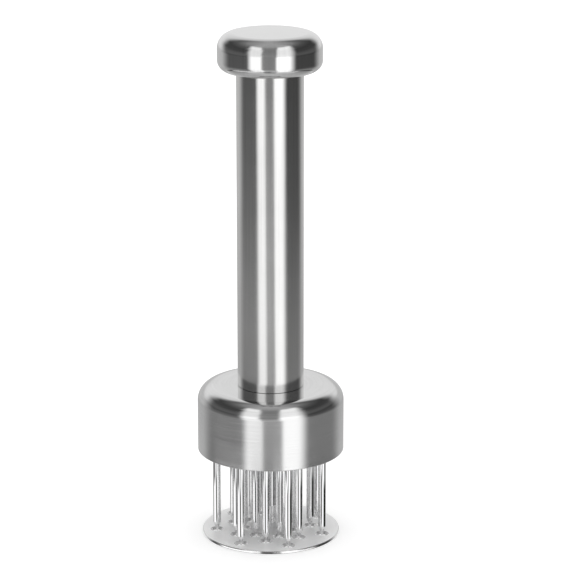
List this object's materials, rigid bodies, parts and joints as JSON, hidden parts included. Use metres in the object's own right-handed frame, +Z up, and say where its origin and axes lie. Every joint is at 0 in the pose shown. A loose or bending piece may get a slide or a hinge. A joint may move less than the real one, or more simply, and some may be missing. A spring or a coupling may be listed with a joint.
{
  "type": "meat injector",
  "caption": "Upright stainless meat injector: knob plunger in a barrel, bell head with rings of hollow needles, and a spring-loaded needle guard plate.",
  "frame": {"origin": "centre of the guard plate's underside, on the tool's axis", "axes": "+Z up the barrel to the knob; the rings of needles, the barrel and the knob share this axis"},
  "size_m": [0.07, 0.07, 0.2449],
  "materials": {
    "satin_steel": "satin, lengthwise brushing",
    "polished_steel": "bright polished",
    "machined_steel": "turned, lightly brushed",
    "spring_steel": "drawn wire",
    "white_polymer": "satin food-grade polymer",
    "black_rubber": "soft matte"
  },
  "bodies": {
    "head": {"bell_housing": "satin_steel", "manifold_body": "white_polymer", "neck_seal": "black_rubber", "manifold_gasket": "black_rubber", "needle_plate": "machined_steel", "manifold_screws": "machined_steel", "needles_outer": "polished_steel", "needles_middle": "polished_steel", "needles_inner": "polished_steel", "centre_sleeve": "machined_steel", "sleeve_plug": "machined_steel", "guide_bush": "white_polymer", "guard_spring": "spring_steel"},
    "foot_ring": {"foot_gasket": "black_rubber"},
    "barrel": {"barrel_tube": "satin_steel", "gland_cap": "machined_steel", "gland_bush": "white_polymer", "gland_wiper": "black_rubber"},
    "plunger": {"plunger_tube": "polished_steel", "piston": "white_polymer", "piston_rings": "black_rubber", "sleeve_seal": "black_rubber", "piston_nut": "machined_steel", "knob_shell": "satin_steel", "knob_base": "satin_steel", "knob_boss": "machined_steel"},
    "guard": {"guard_plate": "polished_steel", "guard_rod": "polished_steel", "guard_screw": "machined_steel", "rod_nut": "machined_steel"}
  },
  "joints": [
    {"name": "guard_slide", "type": "slide", "parent": "head", "child": "guard", "axis": [0, 0, 1], "range_m": [0, 0.05], "stiffness_N_per_m": 280, "springref_m": -0.034, "deforming": ["guard_spring"]},
    {"name": "barrel_lift", "type": "slide", "parent": "head", "child": "foot_ring", "axis": [0, 0, 1], "range_m": [0, 0.008]},
    {"name": "barrel_turn", "type": "hinge", "parent": "foot_ring", "child": "barrel", "pos_m": [0, 0, 0.0746], "axis": [0, 0, 1], "range_deg": [0, 1440]},
    {"name": "plunger_slide", "type": "slide", "parent": "barrel", "child": "plunger", "axis": [0, 0, 1], "range_m": [0, 0.11]}
  ],
  "couplings": [
    {"joint": "barrel_lift", "follows": "barrel_turn", "m_per_rad": 0.000318}
  ]
}
